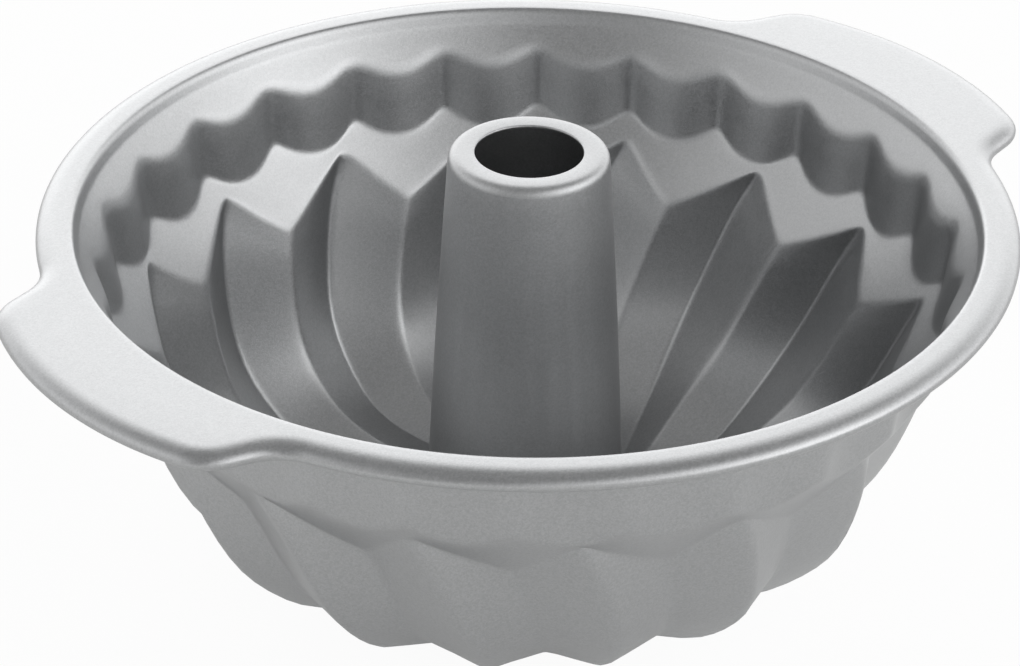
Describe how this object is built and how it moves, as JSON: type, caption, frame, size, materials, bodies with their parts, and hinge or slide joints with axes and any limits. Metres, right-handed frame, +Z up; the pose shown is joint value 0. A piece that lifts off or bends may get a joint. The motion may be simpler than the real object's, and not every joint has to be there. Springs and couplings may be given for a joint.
{
  "type": "fluted ring cake mould",
  "caption": "Fluted ring cake mould with a scalloped wall, swirled flutes, an open centre tube, a rolled rim and flat handle tabs.",
  "frame": {"origin": "on the mould's axis, in the plane that the flutes stand on", "axes": "+Z up along the centre tube, +X along the line through the two handle tabs"},
  "size_m": [0.3128, 0.2732, 0.1255],
  "materials": {
    "coated_steel": "satin grey non-stick coating with a fine metallic fleck, baked on pressed steel",
    "coated_tube": "the same satin grey non-stick coating on the drawn tube",
    "edge_wire": "plain drawn steel wire"
  },
  "bodies": {
    "root": {"fluted_bowl": "coated_steel", "centre_tube": "coated_tube", "rim_wire": "edge_wire"}
  },
  "joints": []
}
